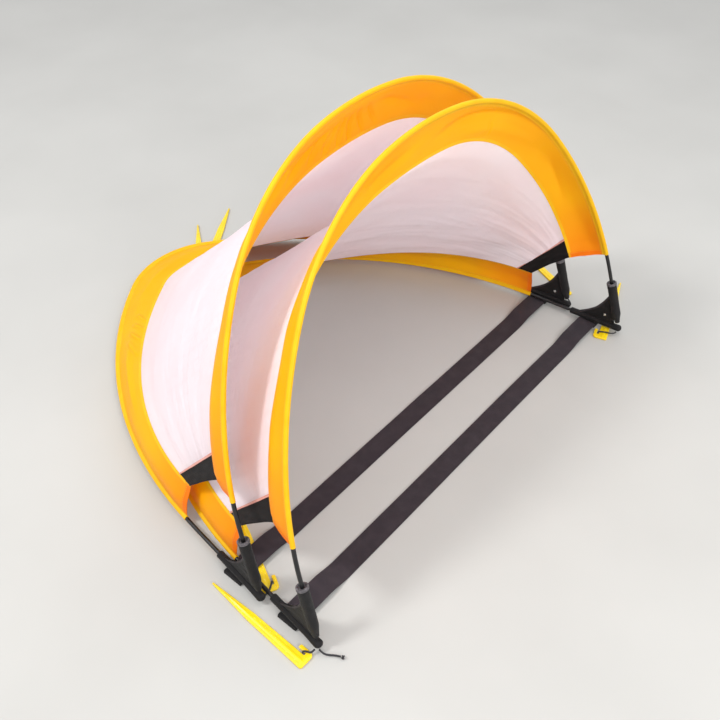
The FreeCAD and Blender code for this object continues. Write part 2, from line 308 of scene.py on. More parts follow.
def join(name, parts):
    deselect()
    for part in parts:
        part.select_set(True)
    bpy.context.view_layer.objects.active = parts[0]
    bpy.ops.object.join()
    parts[0].name = name
    parts[0].data.name = name
    return parts[0]


def place_in_mesh(obj):
    only(obj)
    bpy.ops.object.transform_apply(location=True, rotation=True, scale=True)
    return obj


def apply_modifier(obj, kind, **settings):
    only(obj)
    modifier = obj.modifiers.new(kind.title(), kind)
    for key, value in settings.items():
        setattr(modifier, key, value)
    bpy.ops.object.modifier_apply(modifier=modifier.name)
    return obj


# --- materials ---

def srgb(value):
    """An sRGB hex value as linear RGBA."""
    parts = [int(value[i:i + 2], 16) / 255 for i in (0, 2, 4)]
    return [c / 12.92 if c <= 0.04045 else ((c + 0.055) / 1.055) ** 2.4 for c in parts] + [1.0]


def add(tree, kind, settings=None, **links):
    """Adds a node, sets its values, and links its inputs from (node, output) pairs."""
    node = tree.nodes.new(kind)
    for key, value in (settings or {}).items():
        if hasattr(node, key):
            setattr(node, key, value)
        else:
            node.inputs[int(key) if key.isdigit() else key].default_value = value
    for key, (source, output) in links.items():
        target = int(key[1:]) if key[0] == "_" else key.replace("_", " ")
        tree.links.new(source.outputs[output], node.inputs[target])
    return node


def new_material(name):
    material = bpy.data.materials.new(name)
    material.use_nodes = True
    tree = material.node_tree
    tree.nodes.clear()
    return material, tree


def metres(tree, layer):
    """Metres along (X) and across (Y) a piece's own cloth."""
    uv = add(tree, "ShaderNodeUVMap", {"uv_map": layer})
    return add(tree, "ShaderNodeSeparateXYZ", _0=(uv, 0))


def weave(tree, pitch_u, pitch_v, layer="cloth"):
    """Threads over and under each other as a height from 0 to 1."""
    flat = metres(tree, layer)
    waves = []
    for output, pitch in (("X", pitch_u), ("Y", pitch_v)):
        turns = add(tree, "ShaderNodeMath", {"operation": "MULTIPLY", "1": 2 * pi / pitch}, _0=(flat, output))
        waves.append(add(tree, "ShaderNodeMath", {"operation": "SINE"}, _0=(turns, 0)))
    cross = add(tree, "ShaderNodeMath", {"operation": "MULTIPLY"}, _0=(waves[0], 0), _1=(waves[1], 0))
    return add(tree, "ShaderNodeMapRange", {"From Min": -1.0, "From Max": 1.0}, Value=(cross, 0))


def near(tree, source, output, at, width):
    """1 where a distance is within width of at, and 0 elsewhere."""
    return add(tree, "ShaderNodeMath", {"operation": "COMPARE", "1": at, "2": width}, _0=(source, output))


def greatest(tree, masks):
    total = masks[0]
    for mask in masks[1:]:
        total = add(tree, "ShaderNodeMath", {"operation": "MAXIMUM"}, _0=(total, 0), _1=(mask, 0))
    return total


def dashes(tree, source, output, pitch, share):
    """Stitches of a share of the pitch along a distance."""
    turns = add(tree, "ShaderNodeMath", {"operation": "DIVIDE", "1": pitch}, _0=(source, output))
    part = add(tree, "ShaderNodeMath", {"operation": "FRACT"}, _0=(turns, 0))
    return add(tree, "ShaderNodeMath", {"operation": "LESS_THAN", "1": share}, _0=(part, 0))


def both(tree, a, b):
    return add(tree, "ShaderNodeMath", {"operation": "MULTIPLY"}, _0=(a, 0), _1=(b, 0))


def mix_colour(tree, share, a, b):
    """Between two colours, each a hex value or a node."""
    node = add(tree, "ShaderNodeMix", {"data_type": "RGBA"}, _0=(share, 0))
    for socket, colour in ((6, a), (7, b)):
        if isinstance(colour, str):
            node.inputs[socket].default_value = srgb(colour)
        else:
            tree.links.new(colour.outputs[2], node.inputs[socket])
    return node


def blotches(tree, scale, low, high, stretch=(1, 1, 1), detail=3.0):
    """Soft uneven areas, as a value from 0 to 1. scale is in spots a metre."""
    where = add(tree, "ShaderNodeTexCoord")
    mapped = add(tree, "ShaderNodeMapping", {"Scale": stretch}, Vector=(where, "Object"))
    spots = add(tree, "ShaderNodeTexNoise", {"Scale": scale, "Detail": detail}, Vector=(mapped, 0))
    return add(tree, "ShaderNodeMapRange", {"From Min": low, "From Max": high}, Value=(spots, 0))


def bump(tree, height, distance, strength=1.0, below=None):
    node = add(tree, "ShaderNodeBump", {"Distance": distance, "Strength": strength}, Height=(height, 0))
    if below:
        tree.links.new(below.outputs[0], node.inputs["Normal"])
    return node


def see_through_cloth(tree, colour, glow, normal, settings, share):
    """Thin cloth: some of the light comes through from behind."""
    front = add(tree, "ShaderNodeBsdfPrincipled", settings, Base_Color=(colour, 2), Normal=(normal, 0))
    back = add(tree, "ShaderNodeBsdfTranslucent", None, Color=(glow, 2), Normal=(normal, 0))
    mixed = add(tree, "ShaderNodeMixShader", {"Fac": share}, _1=(front, 0), _2=(back, 0))
    add(tree, "ShaderNodeOutputMaterial", None, Surface=(mixed, 0))


def opaque(tree, colour, normal, settings, rough=None):
    links = {"Normal": (normal, 0)}
    if isinstance(colour, str):
        settings = dict(settings, **{"Base Color": srgb(colour)})
    else:
        links["Base_Color"] = (colour, 2)
    if rough:
        links["Roughness"] = (rough, 0)
    front = add(tree, "ShaderNodeBsdfPrincipled", settings, **links)
    add(tree, "ShaderNodeOutputMaterial", None, Surface=(front, 0))


def coated_oxford():
    """Polyester oxford, dyed orange-yellow and coated inside: a fine weave with a soft shine, brighter
    where light comes through one layer and deeper orange where hems lie double."""
    material, tree = new_material("coated_oxford")
    ends = metres(tree, "edges")
    run = metres(tree, "cloth")
    # threads are 0.4 mm apart; drawn 2.4 mm apart, so that the weave shows
    threads = weave(tree, 2.4 * mm, 2.4 * mm)
    dye = blotches(tree, 6, 0.3, 0.7)
    base = mix_colour(tree, dye, colours().band, "FFBE00")
    through = mix_colour(tree, dye, "FFB000", "FFA400")
    hem = add(tree, "ShaderNodeMath", {"operation": "LESS_THAN", "1": 14 * mm}, _0=(ends, "X"))
    seam = add(tree, "ShaderNodeMath", {"operation": "LESS_THAN", "1": 5 * mm}, _0=(ends, "Y"))
    # painted shade: the colour darkens to deeper orange from 190 mm to 20 mm short of the open ends, as shade
    # there; the band is also folded under and stitched at these ends
    towards = add(tree, "ShaderNodeMapRange", {"From Min": 20 * mm, "From Max": 190 * mm, "To Min": 0.85,
                                               "To Max": 0.0}, Value=(ends, "X"))
    deeper = mix_colour(tree, towards, base, "FF9B08")
    doubled = mix_colour(tree, hem, deeper, colours().band_deep)
    seamed = mix_colour(tree, seam, doubled, "FFC61E")
    rows = [both(tree, near(tree, ends, "X", 12 * mm, 0.5 * mm), dashes(tree, run, "Y", 5 * mm, 0.62)),
            both(tree, near(tree, ends, "Y", 3 * mm, 0.5 * mm), dashes(tree, run, "X", 5 * mm, 0.62)),
            both(tree, near(tree, run, "Y", 12 * mm, 0.5 * mm), dashes(tree, run, "X", 5 * mm, 0.62))]
    stitches = greatest(tree, rows)
    colour = mix_colour(tree, stitches, seamed, "FFD24A")
    weave_bump = bump(tree, threads, 0.15 * mm, 0.6)
    normal = bump(tree, stitches, 0.4 * mm, 1.0, weave_bump)
    see_through_cloth(tree, colour, through, normal,
                      {"Roughness": 0.45, "Specular IOR Level": 0.25}, 0.30)
    return material


def hem_oxford():
    """The same cloth doubled round the rod: tighter and brighter on its rounded edge."""
    material, tree = new_material("hem_oxford")
    run = metres(tree, "cloth")
    threads = weave(tree, 2.4 * mm, 2.4 * mm)
    dye = blotches(tree, 30, 0.3, 0.7, detail=2.0)
    base = mix_colour(tree, dye, "FFC810", "FFBE04")
    pulls = dashes(tree, run, "X", 5 * mm, 0.5)
    weave_bump = bump(tree, threads, 0.15 * mm, 0.6)
    normal = bump(tree, pulls, 0.1 * mm, 0.4, weave_bump)
    see_through_cloth(tree, base, base, normal,
                      {"Roughness": 0.45, "Specular IOR Level": 0.3}, 0.2)
    return material


def knitted_net():
    """Warp-knitted polyester mesh: small even holes that read as a faint grain, thin enough to glow."""
    material, tree = new_material("knitted_net")
    # holes are 1 mm apart; drawn 3 mm apart, so that they show
    holes = weave(tree, 3.0 * mm, 3.0 * mm)
    tone = blotches(tree, 4, 0.35, 0.65)
    soft = mix_colour(tree, tone, colours().net, "FAEDF3")
    shade = mix_colour(tree, holes, soft, "FDF7FA")
    glow = mix_colour(tree, tone, "FFFAFB", "FFF3F3")
    normal = bump(tree, holes, 0.2 * mm, 0.5)
    see_through_cloth(tree, shade, glow, normal,
                      {"Roughness": 0.8, "Sheen Weight": 0.1, "Specular IOR Level": 0.2}, 0.48)
    return material


def panel_cloth():
    """Heavy black nylon: a dense plain weave that stays almost black, with a dull sheen."""
    material, tree = new_material("black_nylon")
    threads = weave(tree, 2.0 * mm, 2.0 * mm)
    wear = blotches(tree, 22, 0.35, 0.7)
    colour = mix_colour(tree, wear, "0A0607", "120C0D")
    normal = bump(tree, threads, 0.2 * mm, 0.7)
    opaque(tree, colour, normal, {"Roughness": 0.75, "Sheen Weight": 0.04, "Specular IOR Level": 0.22})
    return material


def hem_tape():
    """Thin bias tape sewn over the seam between net and corner panel: salmon where black shows through."""
    material, tree = new_material("hem_tape")
    run = metres(tree, "cloth")
    threads = weave(tree, 1.8 * mm, 1.8 * mm)
    stitches = both(tree, near(tree, run, "Y", 2.2 * mm, 0.5 * mm), dashes(tree, run, "X", 4 * mm, 0.6))
    tone = blotches(tree, 18, 0.35, 0.7)
    base = mix_colour(tree, tone, "EFA596", "E3917F")
    colour = mix_colour(tree, stitches, base, "F8C9BC")
    normal = bump(tree, threads, 0.2 * mm, 0.6)
    see_through_cloth(tree, colour, colour, normal, {"Roughness": 0.6, "Sheen Weight": 0.2}, 0.15)
    return material


def webbing(name, light, dark):
    """Polypropylene webbing: ribs along its length, crossed by the weft, worn lighter on the ribs."""
    material, tree = new_material(name)
    # ribs are 1.5 mm apart; drawn 3 mm apart across the strap
    ribs = weave(tree, 2.2 * mm, 3.0 * mm)
    wear = blotches(tree, 40, 0.4, 0.75)
    worn = both(tree, ribs, wear)
    colour = mix_colour(tree, worn, dark, light)
    normal = bump(tree, ribs, 0.5 * mm, 0.9)
    opaque(tree, colour, normal, {"Roughness": 0.66, "Sheen Weight": 0.06, "Specular IOR Level": 0.3})
    return material


def pultruded_rod():
    """Pultruded glass fibre with a black resin skin: satin, with faint lengthwise streaks."""
    material, tree = new_material("glass_fibre_rod")
    streaks = blotches(tree, 60, 0.4, 0.6, (4, 1, 1), 4.0)
    colour = mix_colour(tree, streaks, "080709", "121113")
    rough = add(tree, "ShaderNodeMapRange", {"To Min": 0.28, "To Max": 0.45}, Value=(streaks, 0))
    normal = bump(tree, streaks, 0.05 * mm, 0.5)
    opaque(tree, colour, normal, {"IOR": 1.52}, rough)
    return material


def moulded_peg():
    """Injection-moulded polypropylene: saturated yellow, waxy, with light soft scuffs from the ground."""
    material, tree = new_material("moulded_polypropylene")
    flow = blotches(tree, 25, 0.3, 0.7)
    scuffs = blotches(tree, 260, 0.62, 0.72, (1, 1, 3), 5.0)
    base = mix_colour(tree, flow, colours().peg, "EFC907")
    colour = mix_colour(tree, scuffs, base, "F7E98A")
    rough = add(tree, "ShaderNodeMapRange", {"To Min": 0.34, "To Max": 0.6}, Value=(scuffs, 0))
    normal = bump(tree, scuffs, 0.1 * mm, 0.4)
    opaque(tree, colour, normal, {"IOR": 1.49, "Subsurface Weight": 0.15, "Subsurface Scale": 0.003,
                                  "Subsurface Radius": (1.0, 0.7, 0.1)}, rough)
    return material


def grey_rubber():
    """Rubber collar, dull grey, with a little dust on it."""
    material, tree = new_material("grey_rubber")
    dust = blotches(tree, 150, 0.45, 0.7)
    colour = mix_colour(tree, dust, "4A4649", "6C676A")
    normal = bump(tree, dust, 0.1 * mm, 0.5)
    opaque(tree, colour, normal, {"Roughness": 0.55, "IOR": 1.52})
    return material


def nickel():
    """Nickel-plated brass, stamped: bright with fine handling marks."""
    material, tree = new_material("nickel_plate")
    marks = blotches(tree, 400, 0.4, 0.7)
    colour = mix_colour(tree, marks, "D6D4CF", "BDBBB6")
    rough = add(tree, "ShaderNodeMapRange", {"To Min": 0.18, "To Max": 0.4}, Value=(marks, 0))
    normal = bump(tree, marks, 0.05 * mm, 0.3)
    opaque(tree, colour, normal, {"Metallic": 1.0}, rough)
    return material


def braided_elastic():
    """Elastic cord with a braided polyester cover: matt black, lighter where strands cross over."""
    material, tree = new_material("braided_elastic")
    strands = weave(tree, 1.6 * mm, 1.6 * mm)
    colour = mix_colour(tree, strands, "0D0C0E", "2A272B")
    normal = bump(tree, strands, 0.2 * mm, 0.8)
    opaque(tree, colour, normal, {"Roughness": 0.75, "Sheen Weight": 0.2})
    return material


def studio_floor():
    """Plain painted board, pale and dull."""
    material, tree = new_material("painted_board")
    tone = blotches(tree, 2, 0.3, 0.7)
    colour = mix_colour(tree, tone, "BAB9B5", "B4B3AF")
    normal = bump(tree, tone, 0.1 * mm, 0.1)
    opaque(tree, colour, normal, {"Roughness": 0.9})
    return material


finishes = {}


def finish_of(make, *words):
    key = (make.__name__,) + words
    if key not in finishes:
        finishes[key] = make(*words)
    return finishes[key]


def black_webbing():
    return finish_of(webbing, "black_webbing", "171214", "090708")


# --- cloth bands ---

def tent(v, crease):
    """A soft ridge over 0 to 1 with its top at the crease."""
    x = np.where(v < crease, (v - crease) / crease, (v - crease) / (1 - crease))
    soft = 0.4
    return 1 - (np.sqrt(x * x + soft * soft) - soft) / (sqrt(1 + soft * soft) - soft)


def pull(t, w, at, angle, length, width, height):
    """A single soft fold in cloth, centred at (t, w) = at and lying at an angle to the band."""
    a = radians(angle)
    dt, dw = t - at[0], w - at[1]
    lengthwise = dt * cos(a) + dw * sin(a)
    sideways = -dt * sin(a) + dw * cos(a)
    return height * np.exp(-(sideways / width) ** 2) * np.exp(-(lengthwise / length) ** 4)


# folds: place along and across the band, angle to the rod, half length, half width, height share
front_pulls = {
    1: [((0.25, 0.030), -7, 0.170, 0.011, 1.0), ((0.30, 0.062), -6, 0.140, 0.015, -0.7),
        ((0.27, 0.062), 68, 0.018, 0.003, 0.4), ((-0.10, 0.060), -8, 0.070, 0.010, 0.5),
        ((-0.42, 0.050), -4, 0.110, 0.009, 0.5), ((0.62, 0.055), 8, 0.070, 0.008, 0.5)],
    2: [((-0.17, 0.056), -14, 0.060, 0.007, 0.9), ((-0.125, 0.058), -30, 0.036, 0.0055, 1.0),
        ((-0.085, 0.060), -44, 0.032, 0.0050, 1.1), ((-0.050, 0.061), -60, 0.030, 0.0045, 1.1),
        ((-0.020, 0.062), -78, 0.027, 0.0045, 1.0), ((0.012, 0.060), 76, 0.027, 0.0050, 0.9),
        ((0.050, 0.058), 55, 0.030, 0.0055, 0.8), ((-0.24, 0.052), -9, 0.070, 0.008, 0.7),
        ((-0.34, 0.046), -6, 0.080, 0.008, 0.6), ((0.14, 0.050), 14, 0.060, 0.007, 0.7)],
}
rear_pulls = {
    1: [((0.45, 0.060), -16, 0.070, 0.008, 0.7), ((-0.60, 0.055), 14, 0.070, 0.008, 0.7)],
    2: [((-0.330, 0.072), -34, 0.026, 0.0050, 1.0), ((-0.370, 0.070), -40, 0.028, 0.0050, 1.1),
        ((-0.415, 0.068), -34, 0.034, 0.0055, 1.1), ((-0.465, 0.066), -22, 0.044, 0.0060, 1.0),
        ((-0.58, 0.056), -4, 0.110, 0.008, 0.8), ((0.60, 0.060), -24, 0.045, 0.007, 0.8),
        ((-0.12, 0.055), 6, 0.090, 0.010, 0.4)],
}


def band_points(arch, goal, t, w):
    """Middle surface of a band: t along the arch, w from the rod's axis to the inner edge."""
    made = np.zeros((len(t), len(w), 3))
    settings = shape()
    limit = arch.length - arch.band_start
    v = (w - w[0]) / (band_width - w[0])
    pulls = (front_pulls if arch is arches["front"] else rear_pulls)[goal]
    for i, at in enumerate(t):
        point, across, outward = arch.frame(goal, at)
        side_share = min(abs(at) / limit, 1)
        full = settings.bulge * (0.35 + 0.65 * side_share)
        crease = 0.50 - 0.08 * side_share
        end_flat = min((limit - abs(at)) / 0.05 + 0.25, 1)
        rise = full * tent(v, crease) * end_flat
        hold = np.sin(pi * np.clip(v, 0, 1)) ** 0.5
        for fold in pulls:
            rise += pull(at, w, *fold[:-1], fold[-1] * settings.crease) * hold
        ripple = np.array([noise.noise(Vector((at * 9, x * 26, goal * 7.3))) for x in w])
        rise += ripple * 0.5 * settings.crease * hold
        made[i] = point + np.outer(w, across) + np.outer(rise, outward)
    return made


def band_grid(arch, goal):
    limit = arch.length - arch.band_start
    t = np.linspace(-limit, limit, 421)
    w = np.linspace(6.5 * mm, band_width, 25)
    points = band_points(arch, goal, t, w)
    uv = np.stack(np.meshgrid(t, w, indexing="ij"), -1)
    edges = np.stack(np.meshgrid(limit - np.abs(t), band_width - w, indexing="ij"), -1)
    return points, uv, edges


def body_of_arch(where, goal):
    return "goal_%d_front" % goal if where == "front" else "goal_%d_base" % goal


def add_band(where, goal):
    arch = arches[where]
    points, uv, edges = band_grid(arch, goal)
    name = "%s_band_cloth_%d" % (where, goal)
    obj = slab(name, points, band_t, uv, edges, finish_of(coated_oxford))
    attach(obj, body_of_arch(where, goal))
    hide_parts("%s_band_%d" % (where, goal))
    hem = add_inner_hem(where, goal, points, uv)


def add_inner_hem(where, goal, points, uv):
    """Narrow binding folded over the band's inner edge, where the net is sewn in."""
    rows = slice(-3, None)
    strip = points[:, rows]
    normals = surface_normals(points)[:, rows]
    name = "%s_band_binding_%d" % (where, goal)
    run = uv[:, rows].copy()
    run[..., 1] -= run[:, :1, 1]
    kept = slice(binding_trim, -binding_trim)
    obj = slab(name, strip[kept], binding_t, run[kept], run[kept], finish_of(hem_oxford),
               normals=normals[kept])
    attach(obj, body_of_arch(where, goal))
    return obj


def add_channel(where, goal):
    """The hem sewn round the rod: a tube with a flat tail, gathered a little by its stitches."""
    arch = arches[where]
    limit = arch.length - arch.band_start
    t = np.linspace(-limit, limit, 421)
    rings = []
    for at in t:
        point, across, outward = arch.frame(goal, at)
        gather = 1 + 0.035 * noise.noise(Vector((at * 70, goal * 3.1, 0.5)))
        profile = [(channel_r * gather * cos(a), channel_r * gather * sin(a))
                   for a in np.radians(np.linspace(38, 322, 15))]
        profile += [(7.5 * mm, -1.1 * mm), (10 * mm, -0.8 * mm), (10 * mm, 0.8 * mm), (7.5 * mm, 1.1 * mm)]
        rings.append([point + across * x + outward * y for x, y in profile])
    obj = tube("%s_rod_hem_%d" % (where, goal), rings, finish_of(hem_oxford))
    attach(obj, body_of_arch(where, goal))
    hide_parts("%s_hem_channel_%d" % (where, goal))


# --- net and corner panels ---

gores_each_side = 24


def edge_pair(goal, side_share):
    """Inner edges of the front and rear bands at a signed share of the way, -1 and 1 at the net's lower
    corners and 0 at the top."""
    ends = []
    for where in ("front", "rear"):
        arch = arches[where]
        limit = arch.length - arch.net_start
        point, across, _ = arch.frame(goal, side_share * limit)
        ends.append(point + across * (band_width - 1 * mm))
    return ends


def net_points(goal, share, rows):
    """Middle surface of the net from the front band (row 0) to the rear band."""
    w = np.linspace(0, 1, rows)
    flat = np.zeros((len(share), rows, 3))
    for i, at in enumerate(share):
        p, q = edge_pair(goal, at)
        flat[i] = p + np.outer(w, q - p)
    normals = surface_normals(flat)
    hang = shape().net_sag * 4 * w * (1 - w)
    offset = -np.tile(hang, (len(share), 1))
    hold = np.clip(w * 9, 0, 1) * np.clip((1 - w) * 9, 0, 1)
    folds = np.zeros_like(offset)
    for i, at in enumerate(share):
        for j, x in enumerate(w):
            drape = noise.noise(Vector((at * 2.6, x * 9.0, goal * 5.7)))
            slant = noise.noise(Vector((at * 7.0 + x * 5.0, x * 3.0 - at * 2.0, goal * 2.9 + 4)))
            sharp = 1 - abs(noise.noise(Vector((at * 3.4 + x * 1.5, x * 17.0, goal * 8.1)))) * 3
            folds[i, j] = drape * 1.1 + slant * 0.8 + max(sharp, 0) * 0.35
    offset += folds * shape().net_folds * hold
    return flat, flat + normals * offset[..., None]


def add_net(goal):
    columns, rows = 7, 84
    share = np.linspace(-1, 1, 2 * gores_each_side * columns + 1)
    flat, points = net_points(goal, share, rows)
    normals = surface_normals(points)
    run = np.concatenate([[0], np.cumsum(np.linalg.norm(np.diff(flat[:, rows // 2], axis=0), axis=1))])
    across = np.linalg.norm(flat - flat[:, :1], axis=2)
    uv = np.stack([np.repeat(run[:, None], rows, 1), across], -1)
    material = finish_of(knitted_net)
    for gore in range(2 * gores_each_side):
        cut = slice(gore * columns, (gore + 1) * columns + 1)
        piece = slab("net_gore_%02d_%d" % (gore + 1, goal), points[cut], net_t, uv[cut], uv[cut],
                     material, normals=normals[cut])
        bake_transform(piece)
        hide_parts("net_%d" % goal)


def panel_points(goal, side, cols, rows):
    """Middle surface of a corner panel, from its open lower edge to the net's seam."""
    made = np.zeros((cols, rows, 3))
    w = np.linspace(0, 1, rows)
    for i in range(cols):
        share = i / (cols - 1)
        ends = []
        for where in ("front", "rear"):
            arch = arches[where]
            s = arch.band_start + 2 * mm + (arch.net_start - arch.band_start - 2 * mm) * share
            point, across, _ = arch.frame(goal, side * (arch.length - s))
            ends.append(point + across * (band_width - 1 * mm))
        p, q = ends
        made[i] = p + np.outer(w, q - p)
    along = made[-1:] - made[:1]
    arc = 4 * w * (1 - w)
    lift = (1 - np.linspace(0, 1, cols))[:, None] * arc[None, :] * 0.05
    made += along * lift[..., None]
    ripple = np.array([[noise.noise(Vector((i * 0.22, x * 4.0, goal * 3 + side))) for x in w]
                       for i in range(cols)])
    return made + surface_normals(made) * (ripple * arc * 2.5 * mm)[..., None]


def add_panel(name, side, goal):
    points = panel_points(goal, side, 22, 40)
    run = np.linalg.norm(points - points[:1], axis=2)
    across = np.linalg.norm(points - points[:, :1], axis=2)
    uv = np.stack([run, across], -1)
    panel = slab("corner_cloth_%s_%d" % (name, goal), points, panel_t, uv, uv, finish_of(panel_cloth),
                 outward=-side)
    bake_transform(panel)
    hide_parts("corner_panel_%s_%d" % (name, goal))
    for label, cut, finish in (("seam", slice(-3, None), hem_tape), ("lower", slice(0, 2), panel_cloth)):
        strip = points[cut]
        metres_on = np.stack([across[cut], run[cut] - run[cut][:1]], -1)
        tape = slab("corner_%s_tape_%s_%d" % (label, name, goal), strip, tape_t, metres_on, metres_on,
                    finish_of(finish), outward=-side, normals=surface_normals(points)[cut])
        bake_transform(tape)


# --- boots ---

def ring(centre, a, b, ra, rb, count=32, dent=0.0, phase=0.0):
    """An oval ring of points about a centre; dent makes it uneven like sewn cloth."""
    turns = np.linspace(0, 2 * pi, count, endpoint=False)
    out = []
    for turn in turns:
        k = 1 + dent * noise.noise(Vector((cos(turn) * 1.7, sin(turn) * 1.7, phase)))
        out.append(centre + a * (ra * k * cos(turn)) + b * (rb * k * sin(turn)))
    return out


def boot_frame(goal, side):
    foot, up = arches["front"].foot(goal, side)
    _, back = arches["rear"].foot(goal, side)
    across = unit(np.cross(up, back))
    inward = across if across[0] * side < 0 else -across
    clear = (front_sleeve_r + 0.3 * mm) / np.linalg.norm(np.cross(up, back))
    return foot, up, back, inward, clear


def sleeve_rings(foot, along, side_axis, radius, start, end, phase, count=34):
    """Cloth sleeve: a rounded closed bottom, uneven walls, a turned-in mouth round the rod. It is slimmer
    at the bottom, which leaves the boot room to turn under it as the arch folds."""
    third = np.cross(along, side_axis)
    rings = []
    low = radius * sleeve_slim
    for share in np.sin(np.linspace(0.12, pi / 2, 7)):
        rings.append(ring(foot + along * (start + (1 - sqrt(1 - share ** 2)) * 4 * mm), side_axis, third,
                          low * share, low * share, dent=0.02, phase=phase))
    for s in np.linspace(start + 6 * mm, end - 1 * mm, count):
        fill = min((s - start) / sleeve_fill, 1)
        swell = sleeve_slim + (1 - sleeve_slim) * fill * fill * (3 - 2 * fill)
        swell -= 0.05 * (1 - cos((s - start) / (end - start) * 2 * pi)) / 2
        rings.append(ring(foot + along * s, side_axis, third, radius * swell, radius * swell,
                          dent=0.06, phase=phase + s * 60))
    for r, s in ((radius * 0.97, end), (radius * 0.86, end), (radius * 0.80, end - 1 * mm),
                 (rod_r + 1 * mm, end - 3 * mm), (rod_r + 0.4 * mm, end - 3 * mm)):
        rings.append(ring(foot + along * s, side_axis, third, r, r, phase=phase))
    return rings


def add_front_sleeve(name, side, goal):
    foot, up, _, inward, _ = boot_frame(goal, side)
    obj = tube("front_sleeve_cloth_%s_%d" % (name, goal),
               sleeve_rings(foot, up, inward, front_sleeve_r, *front_sleeve, phase=goal * 4 + side),
               black_webbing())
    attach(obj, "goal_%d_front" % goal)
    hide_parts("front_sleeve_%s_%d" % (name, goal))


def add_boot(name, side, goal):
    """Toe and rear sleeve in one, as they are sewn."""
    foot, up, back, inward, _ = boot_frame(goal, side)
    third = np.cross(back, inward)
    rings = []
    for share in np.sin(np.linspace(0.12, pi / 2, 8)):
        depth = -toe_r * sqrt(1 - share ** 2)
        rings.append(ring(foot + back * depth, inward, third, toe_half * share, toe_r * share, dent=0.02))
    for s in np.linspace(3 * mm, rear_sleeve_end - 1 * mm, 40):
        share = min(s / 0.03, 1)
        wide = toe_half + (rear_sleeve_r - toe_half) * share
        tall = toe_r + (rear_sleeve_r - toe_r) * share
        rings.append(ring(foot + back * s, inward, third, wide, tall, dent=0.045, phase=s * 55 + goal + side))
    for r, s in ((0.97, 0), (0.86, 0), (0.78, 1), (0.66, 3), (0.58, 3)):
        radius = max(rear_sleeve_r * r, rod_r + 0.4 * mm)
        rings.append(ring(foot + back * (rear_sleeve_end - s * mm), inward, third, radius, radius))
    obj = tube("boot_cloth_%s_%d" % (name, goal), rings, black_webbing())
    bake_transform(obj)
    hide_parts("boot_%s_%d" % (name, goal))


def add_gusset(name, side, goal):
    """Triangle of webbing between the sleeves, with a bound slanting edge and an eyelet."""
    foot, up, back, inward, clear = boot_frame(goal, side)
    cols, rows = 26, 30
    a = np.linspace(0, 1, cols)[:, None, None]
    b = np.linspace(0, 1, rows)[None, :, None]
    corner = foot + back * (clear - 3 * mm) + up * 4 * mm
    front_edge = corner + up * (gusset_up - 4 * mm) * a
    rear_edge = corner + (back * (gusset_back - clear) - up * 2 * mm) * a
    points = front_edge * (1 - b) + rear_edge * b
    dip = 4 * b * (1 - b) * a ** 2 * 0.16
    points = points + (corner - points) * dip
    pucker = np.array([[noise.noise(Vector((i * 0.3, j * 0.25, goal + side * 3.3))) for j in range(rows)]
                       for i in range(cols)])
    points = points + inward * (pucker * 0.8 * mm)[..., None]
    run = np.linalg.norm(points - corner, axis=2)
    across = np.linalg.norm(points - points[:, :1], axis=2)
    uv = np.stack([run, across], -1)
    normals = surface_normals(points)
    facing = 1 if float(normals.mean((0, 1)) @ inward) > 0 else -1
    web = slab("boot_gusset_%s_%d" % (name, goal), points, gusset_t, uv, uv, black_webbing(),
               outward=facing, normals=normals)
    edge = slab("gusset_binding_%s_%d" % (name, goal), points[-3:], gusset_edge_t, uv[-3:], uv[-3:],
                finish_of(webbing, "edge_webbing", "4B4347", "2C2629"), outward=facing, normals=normals[-3:])
    for piece in (web, edge):
        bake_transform(piece)
    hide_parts("boot_%s_%d" % (name, goal))
    eyelet = add_eyelet(name, goal, foot + up * 0.030 + back * 0.034 + inward * 1.7 * mm, inward)
    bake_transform(eyelet)
    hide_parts("boot_rivets_%d" % goal)


def add_eyelet(name, goal, centre, facing):
    """Rolled ring with a flat flange."""
    turn = Vector(facing).to_track_quat("Z", "Y").to_euler()
    place = dict(location=tuple(centre), rotation=turn)
    deselect()
    bpy.ops.mesh.primitive_torus_add(major_radius=3.0 * mm, minor_radius=0.85 * mm, major_segments=28,
                                     minor_segments=10, **place)
    rolled = bpy.context.object
    deselect()
    bpy.ops.mesh.primitive_cylinder_add(vertices=28, radius=4.0 * mm, depth=0.7 * mm, **place)
    flange = apply_modifier(bpy.context.object, "BEVEL", width=0.25 * mm, segments=2)
    deselect()
    bpy.ops.mesh.primitive_uv_sphere_add(segments=20, ring_count=10, radius=1.9 * mm, **place)
    stud = bpy.context.object
    obj = place_in_mesh(join("eyelet_%s_%d" % (name, goal), [rolled, flange, stud]))
    obj.data.materials.clear()
    obj.data.materials.append(finish_of(nickel))
    only(obj)
    bpy.ops.object.shade_smooth_by_angle(angle=radians(40))
    return obj


def add_collars(goal):
    """Grey rubber rims at the mouths of the two front sleeves."""
    parts = []
    for side in sides.values():
        foot, up, _, _, _ = boot_frame(goal, side)
        a = unit(np.cross(up, np.array([0, 1.0, 0])))
        b = np.cross(up, a)
        profile = [(5.0, 0.4), (8.5, 0.0), (11.8, 0.0), (12.8, 0.9), (13.0, 2.4), (12.6, 3.4), (12.9, 4.6),
                   (12.7, 6.2), (11.9, 7.0), (9.6, 7.0), (8.8, 6.2), (8.4, 4.4), (5.0, 3.8)]
        rings = [ring(foot + up * (front_sleeve[1] + z * mm), a, b, r * mm, r * mm) for r, z in profile]
        parts.append(tube("collar", rings, finish_of(grey_rubber)))
    obj = join("sleeve_collars_%d" % goal, parts)
    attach(obj, "goal_%d_front" % goal)
    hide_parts("sleeve_rims_%d" % goal)


# --- ground straps ---

